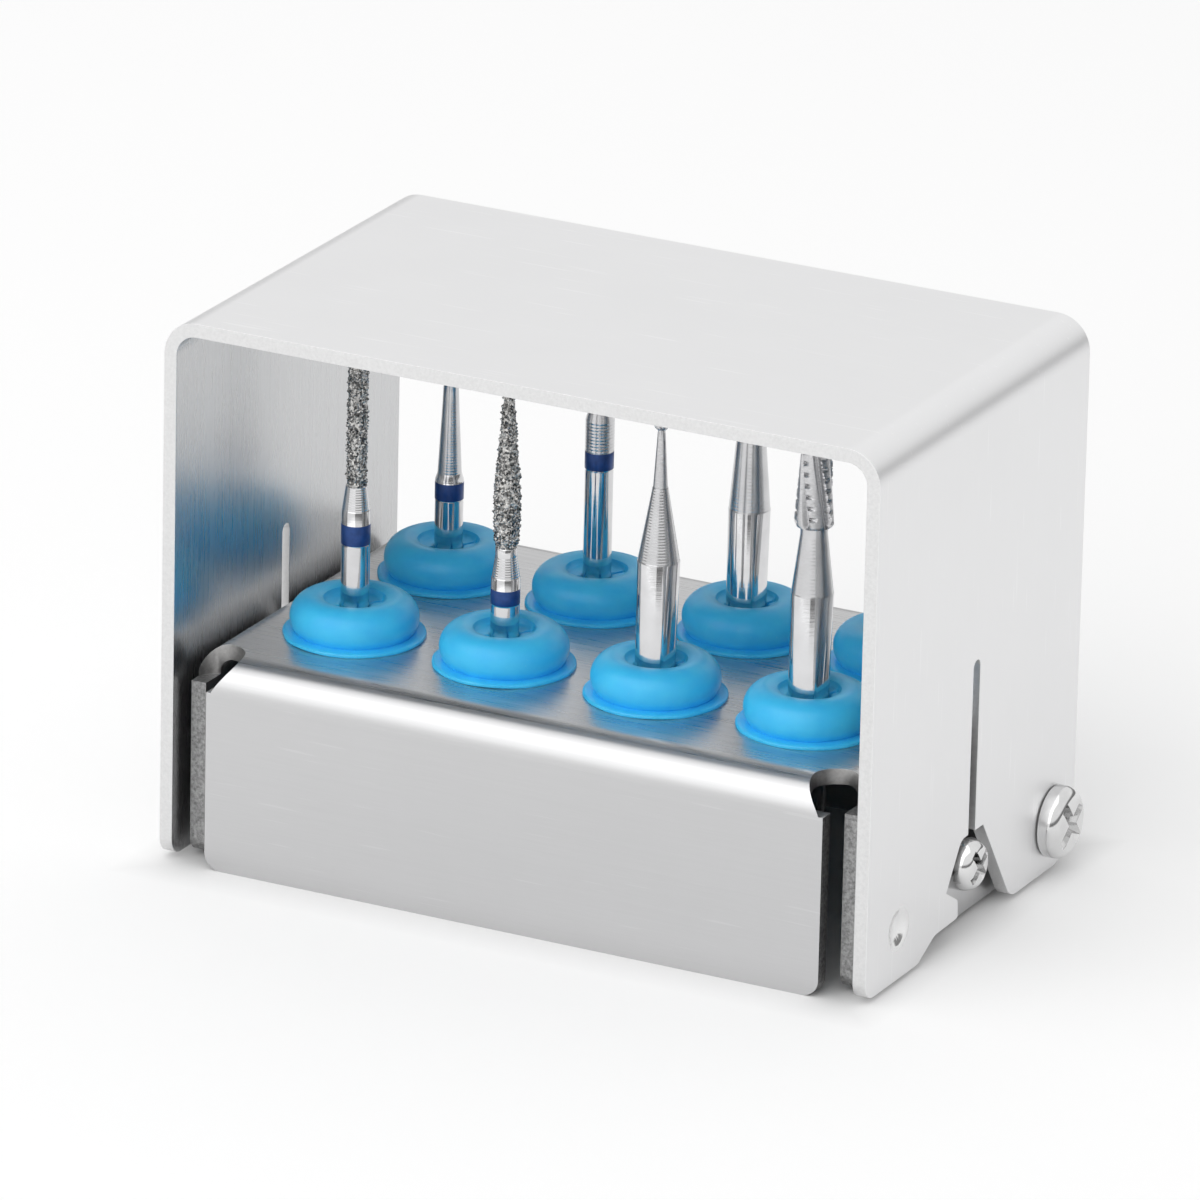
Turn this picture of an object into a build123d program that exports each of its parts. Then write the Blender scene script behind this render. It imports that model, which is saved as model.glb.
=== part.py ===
from build123d import *
from math import acos, asin, atan, cos, degrees, radians, sin, sqrt, tan
import os

os.makedirs("parts", exist_ok=True)

# Dental bur block: a folded base whose eight silicone grommets hold eight burs,
# and a U-shaped cover that swings back on two screws.
# Millimetres. The origin is the middle of the base on the table,
# with the front panel facing -Y and +Z up.

# Base block, one folded sheet
base_sheet = 0.9
base_depth = 27.0
base_height = 12.2
base_side_bend = 1.6
base_front_bend = 2.0
flange_setback = 1.25
flange_lift = 0.3
flange_corner = 0.8
relief_radius = 1.55
relief_setback = 1.5
relief_outset = 0.15
relief_depth = 1.8
panel_corner = 1.0

# Cover, one sheet bent to a U
cover_sheet = 0.8
cover_width = 43.5
cover_rear_setback = 1.0
cover_top = 31.6
cover_bend = 2.0
cover_lift = 0.3
cover_front_corner = 1.0
cover_rear_corner = 2.5
cover_gap = 0.45

# Hinge screws, low at the rear of each side
pivot_rear_setback = 3.9
pivot_z = 3.15
pivot_head_radius = 2.05
pivot_head_height = 1.25
pivot_shoulder_radius = 1.2
pivot_thread_radius = 1.0
pivot_end_play = 0.05
pivot_play = 0.05
pivot_nut_flats = 4.0
pivot_nut_height = 1.6

# Stop screws, in the notch of each side
stop_y = -0.5
stop_z = 3.9
stop_head_radius = 1.5
stop_head_height = 1.75
stop_thread_radius = 0.8
stop_nut_flats = 3.2
stop_nut_height = 1.3

# Both kinds of screw
thread_clearance = 0.05
thread_overrun = 0.3
head_edge_share = 0.55
crown_steps = 3
recess_span_share = 1.2
recess_width_share = 0.32
recess_depth_share = 0.55
recess_floor_share = 0.5

# Notch and slit of the cover's sides, about the stop screw
slit_width = 0.85
slit_offset = -0.2
slit_top = 15.9
notch_front_angle = 56
notch_front_clearance = 0.8
notch_front_length = 2.28
notch_front_corner = 0.8
notch_rear_angle = 55.8
notch_rear_clearance = 0.63
notch_top_clearance = 0.45
flap_corner = 1.4

# Front leg and the lip under the stop screw
leg_foot_length = 6.5
leg_rise_run = 2.0
leg_rise_height = 1.0
leg_round = 1.5
lip_clearance = 0.2
lip_bottom = 1.35
lip_top = 2.43
lip_round = 0.25

# Pressed dimples of the front legs
dimple_y = -9.57
dimple_z = 3.24
dimple_radius = 1.25
dimple_floor_radius = 0.45
dimple_depth = 0.35

# Grommets, two rows of four
columns = 4
rows = 2
column_pitch = 9.34
row_margin = 8.0
hole_radius = 2.65
waist_clearance = 0.05
skirt_radius = 4.0
skirt_thickness = 0.25
dome_radius = 3.6
dome_height = 2.3
dome_tube_radius = 1.25
dome_steps = 5
well_radius = 1.75
well_depth = 0.5
bulb_radius = 3.2
bulb_height = 0.9
toe_radius = 2.2
grommet_reach = 2.6
petal_width = 0.3
petal_length = 3.2
petal_depth = 0.6
grip_clearance = 0.02

# Bur shanks
friction_shank = 0.8
latch_shank = 1.175
shank_chamfer = 0.15
latch_flat_length = 2.6
latch_flat_depth = 0.45
latch_groove_rise = 1.6
latch_groove_width = 1.0
latch_groove_depth = 0.3

# Fluted heads of the carbide burs
blade_count = 6
flute_share = 0.7
flute_angle = 18
head_steps = 4
head_twist = 50

# Places that follow from the sizes above
cover_half = cover_width / 2
cover_inside = cover_half - cover_sheet
base_half = cover_inside - cover_gap
flange_inside = base_half - base_sheet
panel_half = base_half - base_side_bend
base_front = -base_depth / 2
base_rear = base_depth / 2
flange_front = base_front + flange_setback
flange_rear = base_rear - flange_setback
plate_under = base_height - base_sheet
cover_front = base_front
cover_depth = base_depth - cover_rear_setback
pivot_y = base_rear - pivot_rear_setback
row_pitch = (base_depth - 2 * row_margin) / (rows - 1)
column_x = [(i - (columns - 1) / 2) * column_pitch for i in range(columns)]
row_y = [(i - (rows - 1) / 2) * row_pitch for i in range(rows)]


def save(piece, name):
    piece.part.label = name
    export_step(piece.part, f"parts/{name}.step")


def channel_section(left, right, foot, top, sheet, bend):
    """Section of a sheet bent down at both sides, with its outer bend radius."""
    with BuildSketch() as section:
        with BuildLine():
            FilletPolyline(
                (left, foot), (left, top), (right, top), (right, foot),
                radius=[0, bend, bend, 0],
                close=True,
            )
        make_face()
        with BuildLine():
            FilletPolyline(
                (left + sheet, foot), (left + sheet, top - sheet),
                (right - sheet, top - sheet), (right - sheet, foot),
                radius=[0, bend - sheet, bend - sheet, 0],
                close=True,
            )
        make_face(mode=Mode.SUBTRACT)
    return section.sketch


# Base block: top plate, front and rear panels and two side flanges from one sheet
with BuildPart() as base_block:
    with BuildSketch(Plane.XZ.offset(-flange_front)):
        add(channel_section(-base_half, base_half, flange_lift, base_height, base_sheet, base_side_bend))
    extrude(amount=flange_front - flange_rear)
    # The flanges reach past the ends of the plate, where the panels bend down
    with BuildSketch(Plane.XY):
        for end in (-1, 1):
            with Locations((0, end * base_depth / 2)):
                Rectangle(2 * panel_half, 2 * base_front_bend)
    extrude(amount=base_height, mode=Mode.SUBTRACT)
    with BuildSketch(Plane.YZ.offset(-panel_half)):
        add(channel_section(base_front, base_rear, 0, base_height, base_sheet, base_front_bend))
    extrude(amount=2 * panel_half)
    # Round reliefs where the bends of the panels and the flanges meet
    with BuildSketch(Plane.XY.offset(base_height)):
        with GridLocations(2 * (panel_half + relief_outset), base_depth - 2 * relief_setback, 2, 2):
            Circle(relief_radius)
    extrude(amount=-relief_depth, mode=Mode.SUBTRACT)
    panel_corners = base_block.edges().filter_by(Axis.Y).group_by(Axis.Z)[0]
    fillet(panel_corners.filter_by(lambda edge: edge.length < 2 * base_sheet), panel_corner)
    flange_corners = base_block.edges().filter_by(Axis.X).filter_by_position(Axis.Z, flange_lift / 2, 2 * flange_lift)
    fillet(flange_corners, flange_corner)
    # Holes for the grommets, the hinge screws and the stop screws
    with BuildSketch(Plane.XY.offset(plate_under)):
        with GridLocations(column_pitch, row_pitch, columns, rows):
            Circle(hole_radius)
    extrude(amount=base_sheet, mode=Mode.SUBTRACT)
    with BuildSketch(Plane.YZ.offset(-base_half)):
        with Locations((pivot_y, pivot_z)):
            Circle(pivot_thread_radius + thread_clearance)
        with Locations((stop_y, stop_z)):
            Circle(stop_thread_radius + thread_clearance)
    extrude(amount=2 * base_half, mode=Mode.SUBTRACT)
save(base_block, "base_block")


def notch_section():
    """Opening cut from each side of the cover: the slit, the notch round the stop screw
    and the gap between the front leg and the rear flap. Local x is Y and local y is Z."""
    front = radians(notch_front_angle)
    rear = radians(notch_rear_angle)
    front_distance = stop_head_radius + notch_front_clearance
    rear_distance = stop_head_radius + notch_rear_clearance
    front_foot = (stop_y - front_distance * sin(front), stop_z + front_distance * cos(front))
    rear_foot = (stop_y + rear_distance * sin(rear), stop_z + rear_distance * cos(rear))
    top = stop_z + stop_head_radius + notch_top_clearance
    leg_end = (front_foot[0] - notch_front_length * cos(front), front_foot[1] - notch_front_length * sin(front))
    front_top = (front_foot[0] + (top - front_foot[1]) / tan(front), top)
    rear_top = (rear_foot[0] - (top - rear_foot[1]) / tan(rear), top)
    flap_foot = (rear_foot[0] + (rear_foot[1] - cover_lift) / tan(rear), cover_lift)
    # The lip ends on a circle about the hinge, clear of the path of the stop screw's head
    stop_distance = sqrt((pivot_y - stop_y) ** 2 + (stop_z - pivot_z) ** 2)
    lip_reach = stop_distance + stop_head_radius + lip_clearance
    lip_high = (pivot_y - sqrt(lip_reach**2 - (lip_top - pivot_z) ** 2), lip_top)
    lip_low = (pivot_y - sqrt(lip_reach**2 - (lip_bottom - pivot_z) ** 2), lip_bottom)
    rise_start = (cover_front + leg_foot_length, cover_lift)
    rise_end = (rise_start[0] + leg_rise_run, cover_lift + leg_rise_height)
    slit_y = stop_y + slit_offset
    with BuildSketch() as section:
        with BuildLine():
            FilletPolyline(
                leg_end, front_top, rear_top, flap_foot,
                (flap_foot[0] + flap_corner, cover_lift), (flap_foot[0] + flap_corner, 0),
                (rise_start[0] - leg_round, 0), (rise_start[0] - leg_round, cover_lift),
                rise_start, rise_end, lip_low, lip_high,
                radius=[0, notch_front_corner, 0, flap_corner, 0, 0, 0, 0, leg_round, leg_round, lip_round, lip_round],
                close=True,
            )
        make_face()
        with Locations((slit_y, (slit_top + stop_z) / 2)):
            SlotOverall(slit_top - stop_z, slit_width, rotation=90)
    return section.sketch


# Cover: top and two sides from one sheet, open at the front and rear
with BuildPart() as cover:
    with BuildSketch(Plane.XZ.offset(-cover_front)):
        add(channel_section(-cover_half, cover_half, cover_lift, cover_top, cover_sheet, cover_bend))
    extrude(amount=-cover_depth)
    foot_edges = cover.edges().filter_by(Axis.X).group_by(Axis.Z)[0].group_by(Axis.Y)
    fillet(foot_edges[0], cover_front_corner)
    foot_edges = cover.edges().filter_by(Axis.X).group_by(Axis.Z)[0].group_by(Axis.Y)
    fillet(foot_edges[-1], cover_rear_corner)
    with BuildSketch(Plane.YZ.offset(-cover_half)):
        add(notch_section())
        with Locations((pivot_y, pivot_z)):
            Circle(pivot_shoulder_radius + pivot_play)
    extrude(amount=cover_width, mode=Mode.SUBTRACT)
    # Dimples, pressed in from outside
    for side in (-1, 1):
        dimple_axis = Axis((0, dimple_y, dimple_z), (1, 0, 0))
        for face_x, mode in ((cover_inside, Mode.ADD), (cover_half, Mode.SUBTRACT)):
            with BuildSketch(Plane.XY.offset(dimple_z)):
                with BuildLine():
                    floor_x = side * (face_x - dimple_depth)
                    Polyline(
                        (floor_x, dimple_y), (floor_x, dimple_y + dimple_floor_radius),
                        (side * face_x, dimple_y + dimple_radius), (side * face_x, dimple_y),
                        close=True,
                    )
                make_face()
            revolve(axis=dimple_axis, mode=mode)
save(cover, "cover")


def pan_screw(side, y, z, under_head, head_radius, head_height, stem):
    """Cross-recessed pan-head screw along X. The stem is a list of (distance from the
    middle plane, radius) corners from the thread's end to the underside of the head."""
    head_face = under_head + head_height
    edge_size = head_height * head_edge_share
    crown = []
    for step in range(crown_steps + 1):
        turn = radians(90 * step / crown_steps)
        crown.append((head_face - edge_size * (1 - sin(turn)), head_radius - edge_size * (1 - cos(turn))))
    screw_plane = Plane(origin=(0, y, z), x_dir=(side, 0, 0), z_dir=(0, -side, 0))
    with BuildPart() as screw:
        with BuildSketch(screw_plane):
            with BuildLine():
                Polyline((stem[0][0], 0), *stem, (under_head, head_radius), *crown, (head_face, 0), close=True)
            make_face()
        revolve(axis=Axis((0, y, z), (1, 0, 0)))
        with BuildSketch(Plane(origin=(side * head_face, y, z), x_dir=(0, 1, 0), z_dir=(side, 0, 0))):
            span = head_radius * recess_span_share
            width = head_radius * recess_width_share
            Rectangle(span, width)
            Rectangle(width, span)
        depth = head_height * recess_depth_share
        taper = degrees(atan((1 - recess_floor_share) * width / 2 / depth))
        extrude(amount=-depth, taper=taper, mode=Mode.SUBTRACT)
    return screw


def hex_nut(side, y, z, flats, height, bore):
    """Hexagonal nut against the inside of a flange."""
    with BuildPart() as nut:
        with BuildSketch(Plane(origin=(side * flange_inside, y, z), x_dir=(0, 1, 0), z_dir=(-side, 0, 0))):
            RegularPolygon(flats / 2, 6, major_radius=False)
            Circle(bore, mode=Mode.SUBTRACT)
        extrude(amount=height)
    return nut


for side, hand in ((-1, "left"), (1, "right")):
    # Hinge screw: its shoulder carries the cover and seats on the flange
    thread_end = flange_inside - pivot_nut_height - thread_overrun
    hinge_stem = [
        (thread_end, pivot_thread_radius - shank_chamfer),
        (thread_end + shank_chamfer, pivot_thread_radius),
        (base_half, pivot_thread_radius),
        (base_half, pivot_shoulder_radius),
        (cover_half + pivot_end_play, pivot_shoulder_radius),
    ]
    under_hinge_head = cover_half + pivot_end_play
    hinge_screw = pan_screw(
        side, pivot_y, pivot_z, under_hinge_head, pivot_head_radius, pivot_head_height, hinge_stem
    )
    save(hinge_screw, f"hinge_screw_{hand}")
    hinge_nut = hex_nut(side, pivot_y, pivot_z, pivot_nut_flats, pivot_nut_height, pivot_thread_radius + grip_clearance)
    save(hinge_nut, f"hinge_nut_{hand}")

    # Stop screw: its head seats on the flange and stands in the cover's notch
    thread_end = flange_inside - stop_nut_height - thread_overrun
    stop_stem = [
        (thread_end, stop_thread_radius - shank_chamfer),
        (thread_end + shank_chamfer, stop_thread_radius),
        (base_half, stop_thread_radius),
    ]
    stop_screw = pan_screw(side, stop_y, stop_z, base_half, stop_head_radius, stop_head_height, stop_stem)
    save(stop_screw, f"stop_screw_{hand}")
    stop_nut = hex_nut(side, stop_y, stop_z, stop_nut_flats, stop_nut_height, stop_thread_radius + grip_clearance)
    save(stop_nut, f"stop_nut_{hand}")


def grommet(x, y, shank_radius):
    """Silicone ring with a domed top, a thin skirt on the plate, a waist in the hole and
    a bulb below. Local x is the radius and local y the height over the plate."""
    bore = shank_radius + grip_clearance
    tube_centre = dome_radius - dome_tube_radius
    tube_height = dome_height - dome_tube_radius
    skirt_angle = asin((skirt_thickness - tube_height) / dome_tube_radius)
    well_angle = acos((well_radius - tube_centre) / dome_tube_radius)
    dome = []
    for step in range(dome_steps + 1):
        angle = well_angle + (skirt_angle - well_angle) * step / dome_steps
        dome.append((tube_centre + dome_tube_radius * cos(angle), tube_height + dome_tube_radius * sin(angle)))
    well_floor = dome_height - well_depth
    waist = hole_radius - waist_clearance
    with BuildPart() as ring:
        with BuildSketch(Plane(origin=(x, y, base_height), x_dir=(1, 0, 0), z_dir=(0, -1, 0))):
            with BuildLine():
                Polyline(
                    (well_radius, well_floor), (bore, well_floor), (bore, -grommet_reach),
                    (toe_radius, -grommet_reach), (bulb_radius, -base_sheet - bulb_height),
                    (bulb_radius, -base_sheet), (waist, -base_sheet), (waist, 0), (skirt_radius, 0),
                    (skirt_radius, skirt_thickness), *reversed(dome),
                    close=True,
                )
            make_face()
        revolve(axis=Axis((x, y, 0), (0, 0, 1)))
        # Crossed cuts that let the well's floor open round a shank
        with BuildSketch(Plane(origin=(x, y, base_height + well_floor), x_dir=(1, 1, 0))):
            Rectangle(petal_length, petal_width)
            Rectangle(petal_width, petal_length)
        extrude(amount=-petal_depth, mode=Mode.SUBTRACT)
    return ring


def fluted_section(radius, turn):
    """Saw-toothed section of a cutting head. Each blade rises to its edge and drops
    into the flute before the next one."""
    with BuildSketch() as section:
        corners = []
        for blade in range(blade_count):
            edge_angle = turn + 360 * blade / blade_count
            for share, angle in ((1, edge_angle), (flute_share, edge_angle + flute_angle)):
                corners.append((radius * share * cos(radians(angle)), radius * share * sin(radians(angle))))
        with BuildLine():
            Polyline(*corners, close=True)
        make_face()
    return section.sketch


def bur(x, y, foot, outline, latch, head):
    """Turned bur standing at height foot. The outline is a list of (radius, height over
    the foot) corners from the shank's end to the tip or to the base of a fluted head.
    The head is (radius at its base, radius at its end, length), or None."""
    tip = foot + outline[-1][1]
    with BuildPart() as turned:
        with BuildSketch(Plane(origin=(x, y, foot), x_dir=(1, 0, 0), z_dir=(0, -1, 0))):
            with BuildLine():
                Polyline((0, 0), (outline[0][0] - shank_chamfer, 0), (outline[0][0], shank_chamfer),
                         *outline[1:], (0, outline[-1][1]), close=True)
            make_face()
        revolve(axis=Axis((x, y, 0), (0, 0, 1)))
        if head:
            head_base, head_end, head_length = head
            for step in range(head_steps + 1):
                share = step / head_steps
                radius = head_base + (head_end - head_base) * share
                with BuildSketch(Plane(origin=(x, y, tip + head_length * share))):
                    add(fluted_section(radius, head_twist * share))
            loft(ruled=True)
        if latch:
            with BuildSketch(Plane(origin=(x + latch_shank, y, foot))):
                Rectangle(2 * latch_flat_depth, 2 * latch_shank)
            extrude(amount=latch_flat_length, mode=Mode.SUBTRACT)
            with BuildSketch(Plane(origin=(x, y, foot + latch_groove_rise))):
                Circle(latch_shank)
                Circle(latch_shank - latch_groove_depth, mode=Mode.SUBTRACT)
            extrude(amount=latch_groove_width, mode=Mode.SUBTRACT)
    return turned


# Each bur: name, column, row, gap from its tip to the cover, latch end, fluted head, outline
bur_kinds = [
    ("bur_coarse_cylinder", 0, 0, 1.8, False, None,
     [(friction_shank, 0), (friction_shank, 11.2), (0.62, 12.9), (0.62, 20.7), (0.4, 21.0)]),
    ("bur_coarse_taper", 1, 0, 2.2, False, None,
     [(friction_shank, 0), (friction_shank, 11.2), (0.62, 12.9), (0.8, 13.4), (0.8, 15.6), (0.46, 20.6),
      (0.15, 22.5)]),
    ("bur_small_round", 2, 0, 2.5, True, None,
     [(latch_shank, 0), (latch_shank, 14.0), (0.43, 18.2), (0.21, 21.5), (0.4, 21.7), (0.45, 21.9),
      (0.4, 22.1), (0.2, 22.3)]),
    ("bur_crosscut_fissure", 3, 0, 2.6, True, (1.12, 0.84, 4.4),
     [(latch_shank, 0), (latch_shank, 13.9), (0.75, 17.3), (0.75, 17.8)]),
    ("bur_long_neck", 0, 1, 2.6, False, None,
     [(friction_shank, 0), (friction_shank, 10.7), (0.66, 11.1), (0.42, 16.4), (0.5, 16.5), (0.5, 20.4),
      (0.2, 21.0)]),
    ("bur_round_diamond", 1, 1, 3.6, False, None,
     [(friction_shank, 0), (friction_shank, 14.4), (0.45, 16.2), (0.45, 16.6), (0.7, 16.9), (0.8, 17.4),
      (0.7, 17.9), (0.35, 18.2)]),
    ("bur_straight_fissure", 2, 1, 2.7, True, (0.8, 0.78, 3.6),
     [(latch_shank, 0), (latch_shank, 13.1), (0.8, 17.5), (0.62, 18.0)]),
    ("bur_large_round", 3, 1, 3.15, True, None,
     [(latch_shank, 0), (latch_shank, 13.8), (0.5, 18.5), (0.45, 20.0), (0.8, 20.3), (0.95, 20.8),
      (0.8, 21.3), (0.4, 21.65)]),
]
row_names = ("front", "rear")

for name, column, row, tip_gap, latch, head, outline in bur_kinds:
    x = column_x[column]
    y = row_y[row]
    length = outline[-1][1] + (head[2] if head else 0)
    foot = cover_top - cover_sheet - tip_gap - length
    save(bur(x, y, foot, outline, latch, head), name)
    save(grommet(x, y, outline[0][0]), f"grommet_{row_names[row]}_{column + 1}")
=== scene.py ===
from math import atan2, cos, hypot, pi, radians, sin, sqrt, tau

import bmesh
import bpy
from mathutils import Matrix, Vector, noise


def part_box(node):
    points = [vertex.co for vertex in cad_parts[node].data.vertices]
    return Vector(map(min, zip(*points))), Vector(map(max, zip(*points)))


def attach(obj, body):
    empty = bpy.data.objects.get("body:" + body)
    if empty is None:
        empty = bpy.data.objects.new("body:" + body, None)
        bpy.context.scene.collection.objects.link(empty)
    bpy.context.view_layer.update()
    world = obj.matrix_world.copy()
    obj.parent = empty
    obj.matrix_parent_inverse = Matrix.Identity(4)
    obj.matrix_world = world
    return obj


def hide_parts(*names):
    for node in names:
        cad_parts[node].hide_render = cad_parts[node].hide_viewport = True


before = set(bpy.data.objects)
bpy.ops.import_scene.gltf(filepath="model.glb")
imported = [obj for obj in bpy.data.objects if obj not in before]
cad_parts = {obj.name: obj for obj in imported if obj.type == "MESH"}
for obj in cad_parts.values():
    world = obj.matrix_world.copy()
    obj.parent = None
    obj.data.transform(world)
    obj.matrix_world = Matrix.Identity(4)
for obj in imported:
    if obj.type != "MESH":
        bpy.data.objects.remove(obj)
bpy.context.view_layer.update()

mm = 0.001               # shapes are made in millimetres and scaled once
weld = 0.0005            # points of a shape nearer than this are merged
print("stage: frame loaded")


# An output socket. An expression on it adds Math nodes.
class Value:
    def __init__(self, shader, socket):
        self.shader = shader
        self.socket = socket

    def math(self, operation, *terms):
        return self.shader.node("ShaderNodeMath", {"operation": operation}, dict(enumerate(terms)))

    def __add__(self, other):
        return self.math("ADD", self, other)

    def __sub__(self, other):
        return self.math("SUBTRACT", self, other)

    def __mul__(self, other):
        return self.math("MULTIPLY", self, other)

    def __truediv__(self, other):
        return self.math("DIVIDE", self, other)

    def __gt__(self, other):
        return self.math("GREATER_THAN", self, other)

    __radd__ = __add__

    def absolute(self):
        return self.math("ABSOLUTE", self)

    def clamped(self):
        return self.shader.node("ShaderNodeClamp", {}, {"Value": self})


# The nodes of one material or world
class Shader:
    def __init__(self, owner):
        owner.use_nodes = True
        self.owner = owner
        self.tree = owner.node_tree
        self.tree.nodes.clear()

    def node(self, kind, settings, sockets, output=0):
        made = self.tree.nodes.new(kind)
        for name, value in settings.items():
            if name == "stops":
                ramp = made.color_ramp.elements
                ramp.remove(ramp[1])
                for index, (position, level) in enumerate(value):
                    stop = ramp[0] if index == 0 else ramp.new(position)
                    stop.position = position
                    stop.color = (level, level, level, 1)
            else:
                setattr(made, name, value)
        for name, value in sockets.items():
            if isinstance(value, Value):
                self.tree.links.new(value.socket, made.inputs[name])
            else:
                made.inputs[name].default_value = value
        return Value(self, made.outputs[output]) if made.outputs else None

    def place(self, scale, turn=(0, 0, 0)):
        here = self.node("ShaderNodeTexCoord", {}, {}, "Object")
        return self.node("ShaderNodeMapping", {}, {0: here, "Rotation": turn, "Scale": scale})

    def noise(self, where, scale=1, detail=3, roughness=0.5):
        return self.node("ShaderNodeTexNoise", {}, {
            "Vector": where, "Scale": scale, "Detail": detail, "Roughness": roughness})

    def cells(self, where, feature="F1", output="Distance"):
        return self.node("ShaderNodeTexVoronoi", {"feature": feature}, {"Vector": where, "Scale": 1}, output)

    def ramp(self, value, *stops):
        return self.node("ShaderNodeValToRGB", {"stops": stops}, {0: value})

    def mix(self, mask, first, second, mode="MIX"):
        return self.node("ShaderNodeMix", {"data_type": "RGBA", "blend_type": mode},
                         {0: mask, 6: first, 7: second}, 2)

    def axis(self, vector, name):
        return self.node("ShaderNodeSeparateXYZ", {}, {0: vector}, name)

    def bump(self, height, depth, strength=1.0, under=None):
        sockets = {"Height": height, "Distance": depth, "Strength": strength}
        if under:
            sockets["Normal"] = under
        return self.node("ShaderNodeBump", {}, sockets)

    def finish(self, sockets):
        surface = self.node("ShaderNodeBsdfPrincipled", {}, sockets)
        self.node("ShaderNodeOutputMaterial", {}, {"Surface": surface})
        return self.owner


def newShader(name):
    return Shader(bpy.data.materials.new(name))


# From the 0 to 255 levels of a screen to linear light
def rgb(red, green, blue):
    return tuple(((level / 255 + 0.055) / 1.055) ** 2.4 for level in (red, green, blue)) + (1,)


# A colour made darker, its opacity kept
def dimmed(colour, share):
    return tuple(level * share for level in colour[:3]) + (1,)


# Sheet steel, brushed along X on the flat and along Z on what is bent down. Scales are in
# cycles per metre, along and across the grain.
brushed = {
    "along": 60, "across": 4600, "fineAlong": 300, "fineAcross": 14000,
    "scratchAlong": 190, "scratchAcross": 5200, "scratchDepth": 4e-6,
    "cloud": 160, "facingSide": 0.7, "facingUp": 0.9,
}


def brushedSteel(name, colour, roughness, strength, depth, metallic, topGain=1.0):
    s = newShader(name)
    direction = s.node("ShaderNodeTexCoord", {}, {}, "Normal")
    side = s.axis(direction, "X").absolute() > brushed["facingSide"]
    gain = (s.axis(direction, "Z") > brushed["facingUp"]) * (topGain - 1) + 1

    def grained(along, across, flatTurn=(0, 0, 0), sideTurn=(0, 0, 0)):
        flat = s.place((along, across, across), flatTurn)
        bent = s.place((across, across, along), sideTurn)
        return s.mix(side, flat, bent)

    grain = s.noise(grained(brushed["along"], brushed["across"]), 1, 4, 0.62)
    fine = s.noise(grained(brushed["fineAlong"], brushed["fineAcross"]), 1, 3, 0.6)
    cloud = s.noise(s.place((brushed["cloud"],) * 3), 1, 3, 0.5)
    smudge = s.noise(s.place((420, 900, 420), (0.3, 0.2, 0.6)), 1, 4, 0.6)
    # Stray scratches, a little askew to the grain
    stray = grained(brushed["scratchAlong"], brushed["scratchAcross"], (0, 0, 0.06), (0.05, 0, 0))
    scratch = s.ramp(s.noise(stray, 1, 1, 0.4), (0.70, 0.0), (0.76, 1.0))
    streak = ((grain - 0.5) * 0.5 + (fine - 0.5) * 0.5) * gain
    level = 1.0 + streak * strength + scratch * 0.06 + (cloud - 0.5) * 0.03
    tone = s.node("ShaderNodeCombineColor", {}, {0: level, 1: level, 2: level})
    base = s.mix(1.0, colour, tone, "MULTIPLY")
    rough = (roughness + streak * strength * 0.5 + (smudge - 0.5) * 0.04 + scratch * 0.05).clamped()
    grooves = s.bump(grain * gain, depth, 0.6)
    grooves = s.bump(fine * gain, depth * 0.6, 0.6, grooves)
    grooves = s.bump(scratch, -brushed["scratchDepth"], 0.15, grooves)
    return s.finish({"Base Color": base, "Metallic": metallic, "Roughness": rough, "Normal": grooves})


# The sheared edges of a sheet: a torn matt part and a smooth burnished part
def shearedEdge(name, colour, dark, depth):
    s = newShader(name)
    tear = s.noise(s.place((5200, 5200, 5200)), 1, 5, 0.7)
    pits = s.cells(s.place((7000, 3000, 7000)))
    level = s.ramp(tear, (0.3, dark), (0.7, 1.0))
    base = s.mix(1.0, colour, level, "MULTIPLY")
    rough = (0.32 + tear * 0.25).clamped()
    relief = s.bump(tear + pits * 0.4, depth, 0.8)
    return s.finish({"Base Color": base, "Metallic": 1.0, "Roughness": rough, "Normal": relief})


# Bright plated or polished steel of screws and shanks, with faint turning lines and, where
# a wave is given, an uneven surface under them
def polishedSteel(name, colour, roughness, lines, depth, wave=0.0):
    s = newShader(name)
    here = s.place((1, 1, 1))
    turning = s.noise(s.place((lines * 0.02, lines * 0.02, lines)), 1, 3, 0.6)
    bloom = s.noise(here, 900, 3, 0.5)
    base = s.mix(s.ramp(bloom, (0.35, 0.0), (0.75, 1.0)), colour, dimmed(colour, 0.9))
    rough = (roughness + (turning - 0.5) * 0.10 + (bloom - 0.5) * 0.06).clamped()
    relief = s.bump(turning, depth, 0.7)
    if wave:
        relief = s.bump(s.noise(here, 700, 0, 0.4), wave, 1.0, relief)
    return s.finish({"Base Color": base, "Metallic": 1.0, "Roughness": rough, "Normal": relief})


# Silicone rubber, satin, with a faint dusty bloom
def silicone(name, colour, deep):
    s = newShader(name)
    mottle = s.noise(s.place((700, 700, 700)), 1, 4, 0.55)
    dust = s.ramp(s.noise(s.place((9000, 9000, 9000)), 1, 2, 0.5), (0.72, 0.0), (0.78, 1.0))
    skin = s.noise(s.place((14000, 14000, 14000)), 1, 3, 0.6)
    base = s.mix(s.ramp(mottle, (0.3, 0.0), (0.7, 1.0)), colour, deep)
    base = s.mix(dust * 0.10, base, (0.75, 0.85, 0.9, 1))
    rough = (0.36 + (mottle - 0.5) * 0.10 + dust * 0.2).clamped()
    return s.finish({"Base Color": base, "Roughness": rough, "Specular IOR Level": 0.42,
                     "Subsurface Weight": 0.35, "Subsurface Radius": (0.0006, 0.0011, 0.0014),
                     "Normal": s.bump(skin, 3e-6, 0.5)})


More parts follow.
